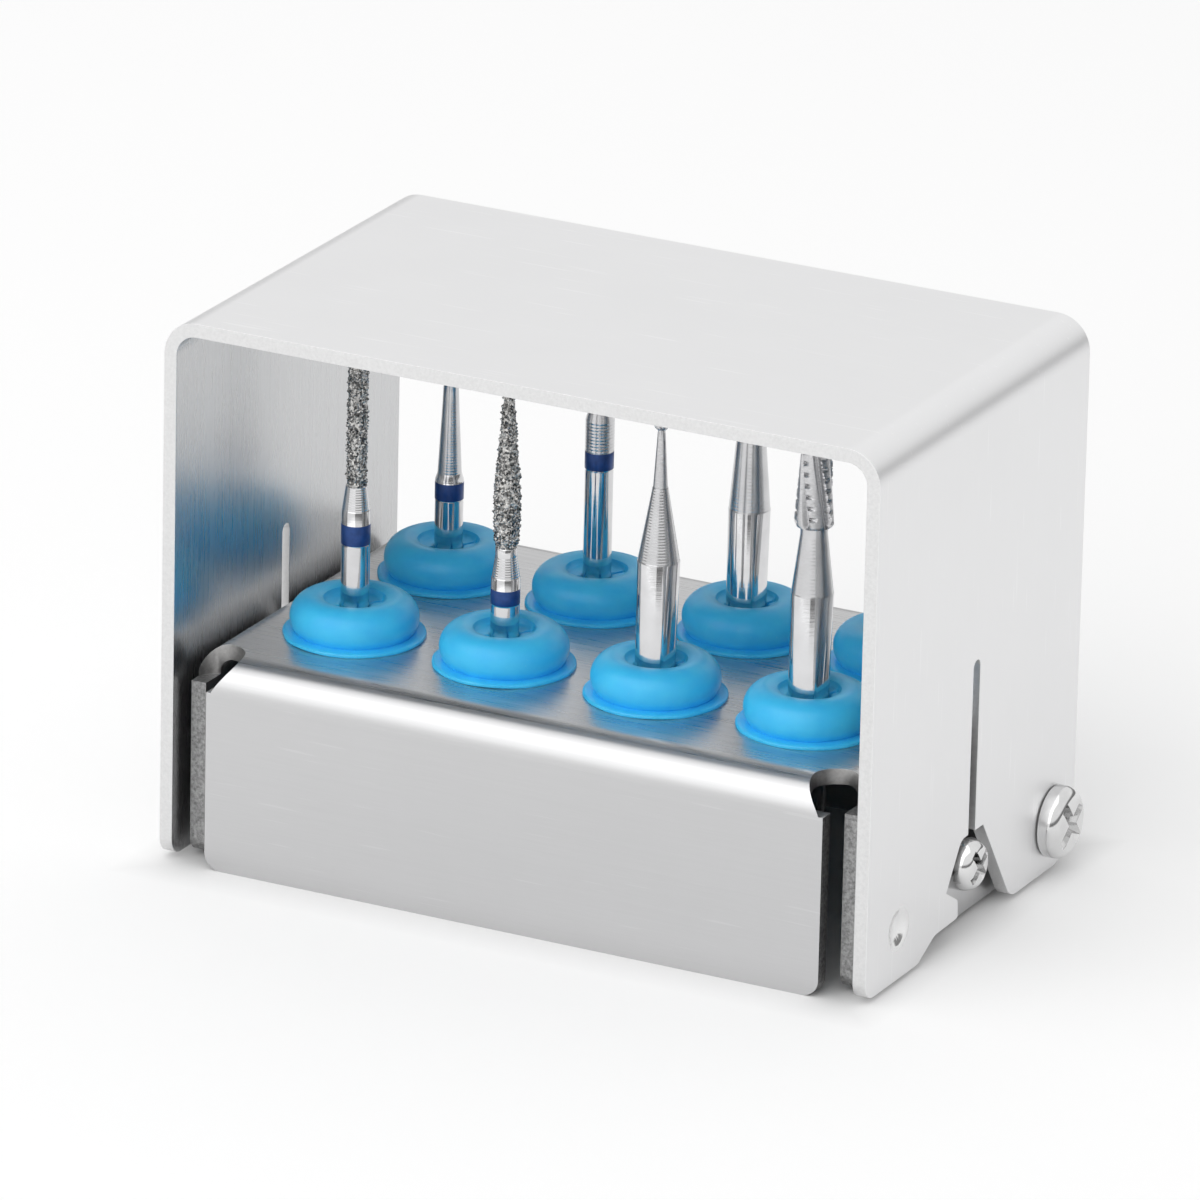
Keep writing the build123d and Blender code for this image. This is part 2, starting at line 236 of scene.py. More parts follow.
# The colour band rolled on a shank
def bandPaint(name, colour):
    s = newShader(name)
    mottle = s.noise(s.place((2500, 2500, 2500)), 1, 4, 0.6)
    base = s.mix(s.ramp(mottle, (0.35, 0.0), (0.7, 1.0)), colour, dimmed(colour, 0.7))
    return s.finish({"Base Color": base, "Roughness": (0.28 + mottle * 0.12).clamped(), "Metallic": 0.35,
                     "Normal": s.bump(mottle, 4e-6, 0.4)})


# Diamond grit held in a nickel bond
def gritCoat(name, dark, bright, crystals):
    s = newShader(name)
    here = s.place((crystals, crystals, crystals))
    tone = s.cells(here, "F1", "Color")
    shade = s.axis(tone, "X")
    edge = s.cells(here, "DISTANCE_TO_EDGE")
    base = s.mix(s.ramp(shade, (0.2, 0.0), (0.8, 1.0)), dark, bright)
    rough = (0.16 + shade * 0.25).clamped()
    return s.finish({"Base Color": base, "Metallic": 0.95, "Roughness": rough,
                     "Normal": s.bump(edge + shade * 0.3, 2.5e-5, 0.8)})


# Ground tungsten carbide
def groundCarbide(name, colour):
    s = newShader(name)
    lines = s.noise(s.place((6000, 6000, 24000)), 1, 3, 0.6)
    base = s.mix(s.ramp(lines, (0.3, 0.0), (0.7, 1.0)), colour, dimmed(colour, 0.72))
    return s.finish({"Base Color": base, "Metallic": 1.0, "Roughness": (0.2 + lines * 0.2).clamped(),
                     "Normal": s.bump(lines, 3e-6, 0.6)})


finishes = {
    "baseSteel": brushedSteel("baseSteel", (0.60, 0.60, 0.605, 1), 0.31, 0.10, 3e-7, 0.95, 10.0),
    "coverSteel": brushedSteel("coverSteel", (0.85, 0.85, 0.855, 1), 0.38, 0.02, 6e-8, 0.8),
    # The cover's inner faces: a real stronger vertical grain, and a darker colour than the outside that is
    # painted shade inside the cover
    "coverInsideGrainAndShade": brushedSteel("coverInsideGrainAndShade", (0.62, 0.625, 0.63, 1), 0.28, 0.3, 1.2e-6, 1.0),
    "pressedSteel": polishedSteel("pressedSteel", (0.86, 0.86, 0.86, 1), 0.16, 3000, 2e-6),
    "shearedEdge": shearedEdge("shearedEdge", (0.50, 0.50, 0.50, 1), 0.3, 1.4e-5),
    "drilledEdge": shearedEdge("drilledEdge", (0.46, 0.455, 0.45, 1), 0.7, 4e-6),
    "trimmedEdge": shearedEdge("trimmedEdge", (0.80, 0.80, 0.80, 1), 0.88, 2e-6),
    "screwSteel": polishedSteel("screwSteel", (0.76, 0.76, 0.76, 1), 0.10, 3000, 2e-6, 3.5e-5),
    "tornSteel": shearedEdge("tornSteel", (0.78, 0.77, 0.76, 1), 0.12, 6e-5),
    "shankSteel": polishedSteel("shankSteel", (0.70, 0.70, 0.71, 1), 0.08, 16000, 2e-6),
    "turnedSteel": polishedSteel("turnedSteel", (0.62, 0.62, 0.63, 1), 0.2, 22000, 6e-6),
    "carbide": groundCarbide("carbide", (0.68, 0.68, 0.69, 1)),
    "diamondGrit": gritCoat("diamondGrit", (0.10, 0.10, 0.10, 1), (0.68, 0.67, 0.65, 1), 9000),
    "blueBand": bandPaint("blueBand", rgb(38, 74, 138)),
    "blueSilicone": silicone("blueSilicone", rgb(70, 204, 255), rgb(56, 192, 250)),
}
print("stage: finishes made")


# Gives a mesh in millimetres its place in the model, its body and the solids that it stands for
def addPiece(shape, name, body, nodes, surfaces, sharp=35):
    bmesh.ops.scale(shape, vec=(mm, mm, mm), verts=shape.verts)
    for face in shape.faces:
        face.smooth = True
    for edge in shape.edges:
        edge.smooth = len(edge.link_faces) == 2 and edge.calc_face_angle() < radians(sharp)
    mesh = bpy.data.meshes.new(name)
    shape.to_mesh(mesh)
    shape.free()
    for surface in surfaces:
        mesh.materials.append(finishes[surface])
    piece = bpy.data.objects.new(name, mesh)
    bpy.context.scene.collection.objects.link(piece)
    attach(piece, body)
    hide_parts(*nodes)
    return piece


# Breaks the edges of a shape where its faces meet at more than an angle in degrees
def breakEdges(shape, angle, width):
    rims = [e for e in shape.edges if len(e.link_faces) == 2 and e.calc_face_angle() > radians(angle)]
    bmesh.ops.bevel(shape, geom=rims, offset=width, offset_type="OFFSET", affect="EDGES",
                    segments=2, profile=0.5, clamp_overlap=True, material=-1)


# Folded sheets: the solids themselves, with their sheared edges slightly broken
def sheetCopy(node, edgeBreak):
    shape = bmesh.new()
    shape.from_mesh(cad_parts[node].data)
    bmesh.ops.scale(shape, vec=(1 / mm, 1 / mm, 1 / mm), verts=shape.verts)
    bmesh.ops.remove_doubles(shape, verts=shape.verts, dist=weld)
    bmesh.ops.dissolve_limit(shape, angle_limit=radians(0.5), verts=shape.verts, edges=shape.edges)
    breakEdges(shape, 40, edgeBreak)
    return shape


# Marks the faces of a sheet's thickness, which are narrow and stand across it
def markCutEdges(shape, isCut):
    for face in shape.faces:
        if isCut(face.calc_center_median(), face.normal):
            face.material_index = 1


# The dimple and the reliefs are given as two coordinates and a radius
coverSheet = {"break": 0.07, "sheet": 0.8, "bend": 2.0, "dimple": (-9.57, 3.24, 1.24), "dimpleReach": 0.5}


def coverPiece():
    c = coverSheet
    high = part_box("cover")[1] / mm
    shape = sheetCopy("cover", c["break"])
    plateUnder = high.z - c["sheet"]
    dimpleY, dimpleZ, dimpleRadius = c["dimple"]

    def isCut(centre, normal):
        endOn = abs(normal.y) > 0.9 and abs(normal.x) < 0.1
        onSide = abs(normal.x) < 0.1 and centre.z < plateUnder - c["bend"] / 2
        return endOn or onSide

    markCutEdges(shape, isCut)
    for face in shape.faces:
        centre, normal = face.calc_center_median(), face.normal
        inwards = normal.x * centre.x < 0 and abs(normal.x) > 0.3
        under = normal.z < -0.3 and centre.z > plateUnder - c["bend"]
        within = inwards and abs(centre.x) < high.x - 0.5 * c["sheet"]
        pressed = hypot(centre.y - dimpleY, centre.z - dimpleZ) < dimpleRadius
        # The plate's underside and the inner faces of the sides take the inner finish, whose darker colour is
        # painted shade
        if face.material_index == 0 and (under or within):
            face.material_index = 2
        if pressed and high.x - c["dimpleReach"] < abs(centre.x) < high.x - 0.02:
            face.material_index = 3
    piece = addPiece(shape, "hingedCover", "cover", ["cover"],
                     ["coverSteel", "trimmedEdge", "coverInsideGrainAndShade", "pressedSteel"])
    piece.modifiers.new("evenNormals", "WEIGHTED_NORMAL").keep_sharp = True


# The slack allows for faces that end a little past a bend
baseSheet = {"break": 0.12, "flange": 1.0, "sideBend": 1.6, "frontBend": 2.0, "slack": 0.1,
             "relief": (19.05, 12.0, 1.7)}


def basePiece():
    b = baseSheet
    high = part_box("base_block")[1] / mm
    shape = sheetCopy("base_block", b["break"])
    belowSideBend = high.z - b["sideBend"] - b["slack"]
    belowFrontBend = high.z - b["frontBend"] - b["slack"]

    def isCut(centre, normal):
        onFlange = abs(centre.x) > high.x - b["flange"] and abs(normal.x) < 0.1
        onPanel = abs(centre.y) > high.y - b["frontBend"] and abs(normal.y) < 0.1
        return (onFlange and centre.z < belowSideBend) or (onPanel and centre.z < belowFrontBend)

    markCutEdges(shape, isCut)
    reliefX, reliefY, reliefRadius = b["relief"]
    for face in shape.faces:
        centre, normal = face.calc_center_median(), face.normal
        near = hypot(abs(centre.x) - reliefX, abs(centre.y) - reliefY) < reliefRadius
        if near and centre.z > belowFrontBend and abs(normal.z) < 0.15:
            face.material_index = 2
    piece = addPiece(shape, "foldedBase", "base", ["base_block"],
                     ["baseSteel", "shearedEdge", "drilledEdge"])
    piece.modifiers.new("evenNormals", "WEIGHTED_NORMAL").keep_sharp = True


coverPiece()
basePiece()
print("stage: sheets made")


# Spins an outline of (radius, height) about Z and closes its poles
def turned(outline, steps):
    shape = bmesh.new()
    points = [shape.verts.new((radius, 0, height)) for radius, height in outline]
    edges = [shape.edges.new(pair) for pair in zip(points, points[1:])]
    bmesh.ops.spin(shape, geom=points + edges, cent=(0, 0, 0), axis=(0, 0, 1),
                   angle=tau, steps=steps, use_merge=True)
    bmesh.ops.remove_doubles(shape, verts=shape.verts, dist=weld)
    bmesh.ops.recalc_face_normals(shape, faces=shape.faces)
    return shape


def arc(centre, radius, start, end, count):
    angles = [radians(start + (end - start) * i / count) for i in range(count + 1)]
    return [(centre[0] + radius * cos(a), centre[1] + radius * sin(a)) for a in angles]


# Adds points along a straight stretch, so that it can be shaped afterwards
def stretch(start, end, count):
    return [(start[0] + (end[0] - start[0]) * i / count, start[1] + (end[1] - start[1]) * i / count)
            for i in range(count + 1)]


# Turned grooves along a cone: its radius dips a little at an even pitch
def ringed(start, end, pitch, depth):
    length = hypot(end[0] - start[0], end[1] - start[1])
    count = max(2, round(length / pitch) * 4)
    points = []
    for i, (radius, height) in enumerate(stretch(start, end, count)):
        points.append((radius - (depth if i % 4 in (1, 2) else 0), height))
    return points


# Grommets: a domed ring with a thin wavy skirt, a waist in the plate and a bulb below it.
# Heights are over the plate.
ring = {
    "sheet": 0.9, "reach": 2.6,
    "skirt": 4.0, "skirtThickness": 0.22, "skirtAngle": -39.0,
    "waveStart": 3.35, "waveTop": 0.4, "waveRate": 1.6, "waveLift": 0.05, "waveTuck": 0.16,
    "dome": 3.6, "tube": 1.25, "height": 2.3,
    "well": 1.75, "wellDepth": 0.5, "wellAngle": 118.7, "hole": 2.65,
    "bulb": 3.2, "bulbHeight": 0.9, "toe": 2.2,
    "slitWidth": 0.11, "slitDepth": 0.5, "slitLength": 1.6, "slitFoot": 0.9, "steps": 120,
}


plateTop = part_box("base_block")[1].z / mm


def grommetPiece(node, bore, seed):
    low, high = (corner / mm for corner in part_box(node))
    centre = (low + high) / 2
    r = ring
    tubeCentre = r["dome"] - r["tube"]
    tubeHeight = r["height"] - r["tube"]
    lip = (r["well"] - 0.06, r["height"] - r["wellDepth"] + 0.1)
    bulbFoot = (r["bulb"], -r["sheet"] - r["bulbHeight"] + 0.1)
    outline = [(bore, -r["reach"]), (r["toe"], -r["reach"])]
    outline += stretch((r["toe"] + 0.1, -r["reach"] + 0.05), bulbFoot, 4)
    outline += [(r["bulb"], -r["sheet"] - 0.08), (r["bulb"] - 0.08, -r["sheet"])]
    outline += [(r["hole"] - 0.04, -r["sheet"]), (r["hole"] - 0.04, 0.0)]
    outline += [(r["skirt"] - 0.5, 0.0), (r["skirt"] - 0.04, 0.0), (r["skirt"], 0.05)]
    outline += [(r["skirt"] - 0.02, r["skirtThickness"] - 0.05), (r["skirt"] - 0.1, r["skirtThickness"])]
    outline += [(r["skirt"] - 0.3, r["skirtThickness"] + 0.02)]
    outline += arc((tubeCentre, tubeHeight), r["tube"], r["skirtAngle"], r["wellAngle"], 22)
    outline += [lip, (r["well"] - 0.16, lip[1] - 0.08)]
    outline += stretch((r["well"] - 0.25, lip[1] - 0.11), (bore + 0.10, lip[1] - 0.17), 4)
    outline += [(bore + 0.03, lip[1] - 0.22), (bore, lip[1] - 0.32)]
    outline += [(bore, -r["reach"])]
    shape = turned(outline, r["steps"])
    for vert in shape.verts:
        x, y, z = vert.co
        radius = hypot(x, y)
        angle = atan2(y, x)
        if radius > r["waveStart"] and z < r["waveTop"]:          # the skirt tucks in or lifts a little
            rate = r["waveRate"]
            wave = noise.noise(Vector((cos(angle) * rate + seed * 7, sin(angle) * rate, seed)))
            share = (radius - r["waveStart"]) / (r["skirt"] - r["waveStart"])
            tuck = min(0.0, wave) * r["waveTuck"] * share
            vert.co.x += cos(angle) * tuck
            vert.co.y += sin(angle) * tuck
            vert.co.z += max(0.0, wave) * r["waveLift"] * share
        if radius < r["slitLength"] and z > r["slitFoot"]:        # crossed slits through the well's floor
            across = min(abs(sin(angle - pi / 4)), abs(cos(angle - pi / 4))) * radius
            if across < r["slitWidth"]:
                vert.co.z -= r["slitDepth"] * (1 - (across / r["slitWidth"]) ** 2)
    bmesh.ops.translate(shape, vec=(centre.x, centre.y, plateTop), verts=shape.verts)
    name = node.replace("grommet", "siliconeGrommet")
    addPiece(shape, name, "base", [node], ["blueSilicone"], 50)


# Burs. Heights are over the table. Each outline runs from the shank's end to the tip.
friction = 0.8           # radius of a friction-grip shank
latch = 1.175            # radius of a latch shank
latchFlat = {"length": 2.6, "depth": 0.45}
pastTip = 40             # a height over every bur


def footOf(node):
    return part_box(node)[0].z / mm


def shankOutline(radius, foot, top):
    return [(0, foot), (radius - 0.15, foot), (radius, foot + 0.15), (radius, top)]


# A friction-grip shank up to its colour band, which stands slightly proud
def bandedShank(node, band):
    low, high = band
    proud = friction + 0.015
    outline = shankOutline(friction, footOf(node), low - 0.1)
    return outline + [(friction, low - 0.02), (proud, low), (proud, high), (friction, high + 0.02)]


# A latch shank and the ringed cone above its shoulder
def shoulderedShank(node, shoulder, neck, neckRadius, pitch, depth):
    outline = shankOutline(latch, footOf(node), shoulder)
    return outline + ringed((latch - 0.02, shoulder + 0.05), (neckRadius, neck), pitch, depth)


# Cuts the flat that a latch holds
def latchEnd(shape, foot):
    for vert in shape.verts:
        if vert.co.z < foot + latchFlat["length"]:
            vert.co.x = min(vert.co.x, latch - latchFlat["depth"])


# Gives points the distance from the axis that the relief says for their angle and height
def relieve(shape, low, high, relief):
    for vert in shape.verts:
        if low <= vert.co.z <= high:
            radius = hypot(vert.co.x, vert.co.y)
            if radius > 0.03:
                grown = relief(atan2(vert.co.y, vert.co.x), vert.co.z, radius)
                vert.co.x *= grown / radius
                vert.co.y *= grown / radius


# Crystals of a coarse grit, each with a height of its own
def gritRelief(size, height, seed):
    def relief(angle, z, radius):
        where = Vector((cos(angle) * radius, sin(angle) * radius, z + seed * 9)) / size
        distances, points = noise.voronoi(where)
        crystal = 0.35 + 0.65 * noise.cell(points[0] * 3.1 + Vector((seed, 0, 0)))
        valley = min(1.0, (distances[1] - distances[0]) * 2.2)
        rough = noise.noise(where * 2.3) * 0.18
        return radius + height * (crystal * valley + rough - 0.45)
    return relief


# Saw-toothed helical blades, with crosscut nicks where a pitch is given
def bladeRelief(blades, share, twist, low, nickPitch=0.0, nickDepth=0.0):
    land = 0.6           # share of a blade's pitch that falls away slowly behind its edge
    nickHalf = 0.22      # half the width of a nick, as a share of its pitch

    def relief(angle, z, radius):
        turns = angle / tau * blades + (z - low) * twist * blades / tau
        phase = turns % 1.0
        drop = phase * 0.4 if phase < land else 0.24 + min(1.0, (phase - land) / 0.2) * 0.76
        drop = min(drop, (1 - phase) / 0.12)
        grown = radius * (1 - (1 - share) * drop)
        if nickPitch:
            blade = int((turns // 1) % blades)
            off = abs(((z - low) / nickPitch + blade * 0.37) % 1.0 - 0.5)
            if off < nickHalf:
                grown -= nickDepth * (1 - (off / nickHalf) ** 2) * max(0.0, 1 - drop * 7)
        return grown
    return relief


def markBands(shape, zones):
    for face in shape.faces:
        z = face.calc_center_median().z
        for low, high, index in zones:
            if low < z < high:
                face.material_index = index


def burPiece(node, shape, surfaces):
    low, high = (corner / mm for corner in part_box(node))
    bmesh.ops.translate(shape, vec=((low.x + high.x) / 2, (low.y + high.y) / 2, 0), verts=shape.verts)
    name = "".join(word.capitalize() for word in node.split("_"))
    addPiece(shape, name[0].lower() + name[1:], "base", [node], surfaces, 40)


# The shank of both coarse burs, with the ringed cone over its band
def coarseShank(node, band, neck):
    outline = bandedShank(node, band) + [(friction, neck[0])]
    return outline + ringed((friction - 0.02, neck[0] + 0.04), (0.6, neck[1]), 0.14, 0.01)


coarseCylinder = {"band": (17.56, 18.73), "neck": (19.5, 20.9), "head": (20.95, 28.9), "radius": 0.58}


def makeCoarseCylinder():
    c = coarseCylinder
    outline = coarseShank("bur_coarse_cylinder", c["band"], c["neck"])
    outline += stretch((c["radius"], c["head"][0]), (c["radius"], c["head"][1] - 0.2), 190)
    outline += [(c["radius"] - 0.12, c["head"][1]), (0, c["head"][1] + 0.03)]
    shape = turned(outline, 96)
    relieve(shape, *c["head"], gritRelief(0.17, 0.15, 1))
    markBands(shape, [(*c["band"], 1), (c["head"][0], pastTip, 2)])
    burPiece("bur_coarse_cylinder", shape, ["shankSteel", "blueBand", "diamondGrit"])


coarseTaper = {
    "band": (15.8, 16.67), "neck": (17.3, 18.6), "head": (19.05, 28.5),
    "corners": [(0.58, 19.05), (0.72, 19.5), (0.78, 21.7), (0.67, 23.5), (0.5, 25.2),
                (0.42, 26.7), (0.3, 28.1)],
}


def makeCoarseTaper():
    c = coarseTaper
    outline = coarseShank("bur_coarse_taper", c["band"], c["neck"])
    outline += [(0.6, c["head"][0] - 0.04)]
    for start, end in zip(c["corners"], c["corners"][1:]):
        outline += stretch(start, end, max(4, round((end[1] - start[1]) / 0.042)))[:-1]
    outline += [c["corners"][-1], (0.12, c["head"][1]), (0, c["head"][1] + 0.04)]
    shape = turned(outline, 108)
    relieve(shape, *c["head"], gritRelief(0.17, 0.15, 2))
    markBands(shape, [(*c["band"], 1), (c["head"][0], pastTip, 2)])
    burPiece("bur_coarse_taper", shape, ["shankSteel", "blueBand", "diamondGrit"])


smallRound = {"shoulder": 20.0, "neck": 24.2, "head": 27.4, "radius": 0.45}


def makeSmallRound():
    c = smallRound
    ball = c["head"] + 0.5
    outline = shoulderedShank("bur_small_round", c["shoulder"], c["neck"], 0.435, 0.16, 0.007)
    outline += stretch((0.4, c["neck"] + 0.03), (0.22, c["head"] - 0.1), 8)
    outline += arc((0, ball), c["radius"], -62, 88, 40) + [(0, ball + c["radius"])]
    shape = turned(outline, 96)
    relieve(shape, c["head"] + 0.1, pastTip, bladeRelief(8, 0.72, 0.9, c["head"]))
    latchEnd(shape, footOf("bur_small_round"))
    markBands(shape, [(c["shoulder"], c["neck"], 1), (c["neck"], pastTip, 2)])
    burPiece("bur_small_round", shape, ["shankSteel", "turnedSteel", "carbide"])


crosscut = {"shoulder": 19.9, "neck": 23.3, "head": (23.75, 28.2), "base": 1.12, "end": 0.86}


def makeCrosscut():
    c = crosscut
    outline = shoulderedShank("bur_crosscut_fissure", c["shoulder"], c["neck"], 0.75, 0.2, 0.002)
    outline += [(0.75, c["head"][0] - 0.05), (0.98, c["head"][0])]
    outline += stretch((c["base"], c["head"][0] + 0.16), (c["end"], c["head"][1] - 0.1), 130)
    outline += [(c["end"] - 0.15, c["head"][1]), (0.3, c["head"][1]), (0, c["head"][1])]
    shape = turned(outline, 144)
    relieve(shape, c["head"][0] + 0.1, c["head"][1] - 0.05,
            bladeRelief(5, 0.68, 0.2, c["head"][0], 0.62, 0.22))
    latchEnd(shape, footOf("bur_crosscut_fissure"))
    headFoot = c["head"][0] - 0.1
    markBands(shape, [(c["shoulder"], headFoot, 1), (headFoot, pastTip, 2)])
    burPiece("bur_crosscut_fissure", shape, ["shankSteel", "turnedSteel", "carbide"])


longNeck = {"band": (16.8, 17.8), "neck": (18.3, 22.6), "head": (23.7, 28.2)}


def makeLongNeck():
    c = longNeck
    low, high = c["head"]
    outline = bandedShank("bur_long_neck", c["band"])
    outline += [(friction, c["band"][1] + 0.15)]
    outline += ringed((0.68, c["neck"][0]), (0.46, c["neck"][1]), 0.16, 0.008) + [(0.42, low - 0.06)]
    outline += stretch((0.46, low), (0.46, high - 0.6), 80) + [(0.2, high), (0, high)]
    shape = turned(outline, 80)
    relieve(shape, low, high, gritRelief(0.1, 0.06, 3))
    markBands(shape, [(*c["band"], 1), (c["neck"][0], low - 0.05, 2), (low, pastTip, 3)])
    burPiece("bur_long_neck", shape, ["shankSteel", "blueBand", "turnedSteel", "diamondGrit"])


roundDiamond = {"band": (20.3, 21.3), "knurl": (21.4, 23.1), "neck": 24.2, "grit": 25.8,
                "head": 26.4, "radius": 0.78}


def makeRoundDiamond():
    c = roundDiamond
    outline = bandedShank("bur_round_diamond", c["band"])
    outline += ringed((friction + 0.02, c["knurl"][0]), (friction + 0.02, c["knurl"][1]), 0.2, 0.02)
    outline += [(0.55, c["neck"]), (0.45, c["neck"] + 1.0), (0.42, c["grit"] - 0.15)]
    outline += arc((0, c["head"]), c["radius"], -55, 88, 60) + [(0, c["head"] + c["radius"])]
    shape = turned(outline, 96)
    relieve(shape, c["grit"], pastTip, gritRelief(0.11, 0.07, 4))
    coatFoot = c["grit"] - 0.1
    markBands(shape, [(*c["band"], 1), (c["band"][1], coatFoot, 2), (coatFoot, pastTip, 3)])
    surfaces = ["shankSteel", "blueBand", "turnedSteel", "diamondGrit"]
    burPiece("bur_round_diamond", shape, surfaces)


straightFissure = {"shoulder": 19.6, "neck": 24.0, "head": (24.5, 28.1), "radius": 0.79}


def makeStraightFissure():
    c = straightFissure
    outline = shoulderedShank("bur_straight_fissure", c["shoulder"], c["neck"], 0.8, 0.2, 0.006)
    outline += [(0.62, c["head"][0] - 0.1)]
    outline += stretch((c["radius"], c["head"][0]), (c["radius"], c["head"][1] - 0.08), 60)
    outline += [(c["radius"] - 0.1, c["head"][1]), (0, c["head"][1])]
    shape = turned(outline, 120)
    relieve(shape, c["head"][0] - 0.02, c["head"][1] - 0.05, bladeRelief(6, 0.7, 0.25, c["head"][0]))
    latchEnd(shape, footOf("bur_straight_fissure"))
    markBands(shape, [(c["shoulder"], c["neck"], 1), (c["neck"], pastTip, 2)])
    burPiece("bur_straight_fissure", shape, ["shankSteel", "turnedSteel", "carbide"])


largeRound = {"shoulder": 19.8, "neck": 24.5, "head": 26.75, "radius": 0.92}


def makeLargeRound():
    c = largeRound
    outline = shoulderedShank("bur_large_round", c["shoulder"], c["neck"], 0.52, 0.16, 0.012)
    outline += [(0.45, c["head"] - 0.85)]
    outline += arc((0, c["head"]), c["radius"], -60, 88, 60) + [(0, c["head"] + c["radius"])]
    shape = turned(outline, 128)
    relieve(shape, c["head"] - 0.78, pastTip, bladeRelief(8, 0.74, 0.6, c["head"]))
    latchEnd(shape, footOf("bur_large_round"))
    markBands(shape, [(c["shoulder"], c["neck"], 1), (c["neck"], pastTip, 2)])
    burPiece("bur_large_round", shape, ["shankSteel", "turnedSteel", "carbide"])


for makeBur in (makeCoarseCylinder, makeCoarseTaper, makeSmallRound, makeCrosscut,
                makeLongNeck, makeRoundDiamond, makeStraightFissure, makeLargeRound):
    makeBur()
print("stage: burs made")

shankOf = {"front_1": friction, "front_2": friction, "front_3": latch, "front_4": latch,
           "rear_1": friction, "rear_2": friction, "rear_3": latch, "rear_4": latch}
for seed, (place, radius) in enumerate(shankOf.items()):
    grommetPiece("grommet_" + place, radius + 0.015, seed + 1)
print("stage: grommets made")


# Screws: a turned pan head with a pressed cross recess, on its shoulder and thread
hingeScrew = {"head": 2.05, "headHeight": 1.25, "recess": 0.62, "pitch": 0.4, "core": 0.8, "shoulder": 1.2}
stopScrew = {"head": 1.5, "headHeight": 1.75, "recess": 0.5, "pitch": 0.35, "core": 0.62}
# Shares of a head's height and radius, and how far its cross is turned
panHead = {"rim": 0.42, "crown": 0.58, "rounding": 0.42, "flat": 0.3,
           "crossSpan": 1.9, "crossWidth": 0.4, "crossTurn": 38}
threadDepth = 0.14
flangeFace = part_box("base_block")[1].x / mm


# A four-armed tapered cutter, as the punch of a cross recess
def crossCutter(top, span, width, depth):
    shape = bmesh.new()
    for turn in (0, pi / 2):
        arm = bmesh.ops.create_cube(shape, size=1)["verts"]
        bmesh.ops.scale(shape, vec=(span, width, depth + 0.4), verts=arm)
        bmesh.ops.translate(shape, vec=(0, 0, top + 0.2 - depth / 2), verts=arm)
        low = [v for v in arm if v.co.z < top - depth / 2]
        bmesh.ops.scale(shape, vec=(0.42, 0.55, 1), verts=low)
        bmesh.ops.rotate(shape, cent=(0, 0, 0), matrix=Matrix.Rotation(turn, 3, "Z"), verts=arm)
    return shape


# Cuts one mesh out of another, both in millimetres
def cutOut(shape, cutter):
    parts = []
    for source in (shape, cutter):
        mesh = bpy.data.meshes.new("cutting")
        source.to_mesh(mesh)
        source.free()
        part = bpy.data.objects.new("cutting", mesh)
        bpy.context.scene.collection.objects.link(part)
        parts.append(part)
    cut = parts[0].modifiers.new("cut", "BOOLEAN")
    cut.operation = "DIFFERENCE"
    cut.solver = "EXACT"
    cut.use_self = True
    cut.object = parts[1]
    bpy.context.view_layer.update()
    mesh = bpy.data.meshes.new_from_object(parts[0].evaluated_get(bpy.context.evaluated_depsgraph_get()))
    result = bmesh.new()
    result.from_mesh(mesh)
    for part in parts:
        bpy.data.objects.remove(part)
    return result


def screwPiece(kind, size, side):
    node = f"{kind}_screw_{side}"
    low, high = (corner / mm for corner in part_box(node))
    hand = 1 if side == "right" else -1
    inner, outer = (low.x, high.x) if hand > 0 else (-high.x, -low.x)
    under = outer - size["headHeight"]
    head = size["head"]
    core = size["core"]
    pitch = size["pitch"]
    crest = core + threadDepth
    outline = [(0, inner), (core - 0.1, inner), (core, inner + 0.1)]
    turns = int((flangeFace - inner - 0.3) / pitch)
    for i in range(turns):
        start = inner + 0.2 + i * pitch
        outline += [(core, start), (crest, start + pitch * 0.4), (crest, start + pitch * 0.55)]
    outline += [(core, flangeFace - 0.05)]
    if "shoulder" in size:
        outline += [(size["shoulder"], flangeFace), (size["shoulder"], under)]
    outline += [(head - 0.12, under), (head - 0.03, under + 0.04), (head, under + 0.12)]
    rimTop = under + size["headHeight"] * panHead["rim"]
    outline += [(head, rimTop)]
    crown = size["headHeight"] * panHead["crown"]
    for angle in range(12, 85, 12):
        inset = (1 - cos(radians(angle))) * head * panHead["rounding"]
        outline += [(head - inset, rimTop + crown * sin(radians(angle)))]
    outline += [(head * panHead["flat"], outer), (0, outer)]
    shape = turned(outline, 72)
    depth = size["headHeight"] * size["recess"]
    cross = crossCutter(outer, head * panHead["crossSpan"], head * panHead["crossWidth"], depth)
    shape = cutOut(shape, cross)
    bmesh.ops.remove_doubles(shape, verts=shape.verts, dist=weld)
    for face in shape.faces:
        centre = face.calc_center_median()
        across, along = sorted((abs(centre.x), abs(centre.y)))
        inArm = across < head * 0.21 and along < head * 0.9
        crownHeight = outer - (hypot(centre.x, centre.y) / head) ** 2 * size["headHeight"] * 0.35
        if inArm and under < centre.z < crownHeight - 0.06:
            face.material_index = 1
    crossTurn = Matrix.Rotation(radians(panHead["crossTurn"]), 3, "Z")
    bmesh.ops.rotate(shape, cent=(0, 0, 0), matrix=crossTurn, verts=shape.verts)
    sideways = Matrix.Rotation(hand * pi / 2, 3, "Y")
    bmesh.ops.rotate(shape, cent=(0, 0, 0), matrix=sideways, verts=shape.verts)
    bmesh.ops.translate(shape, vec=(0, (low.y + high.y) / 2, (low.z + high.z) / 2), verts=shape.verts)
    addPiece(shape, f"{kind}Screw{side.capitalize()}", "base", [node],
             ["screwSteel", "tornSteel"], 32)


hingeNut = {"flats": 4.0, "bore": 1.0}
stopNut = {"flats": 3.2, "bore": 0.8}


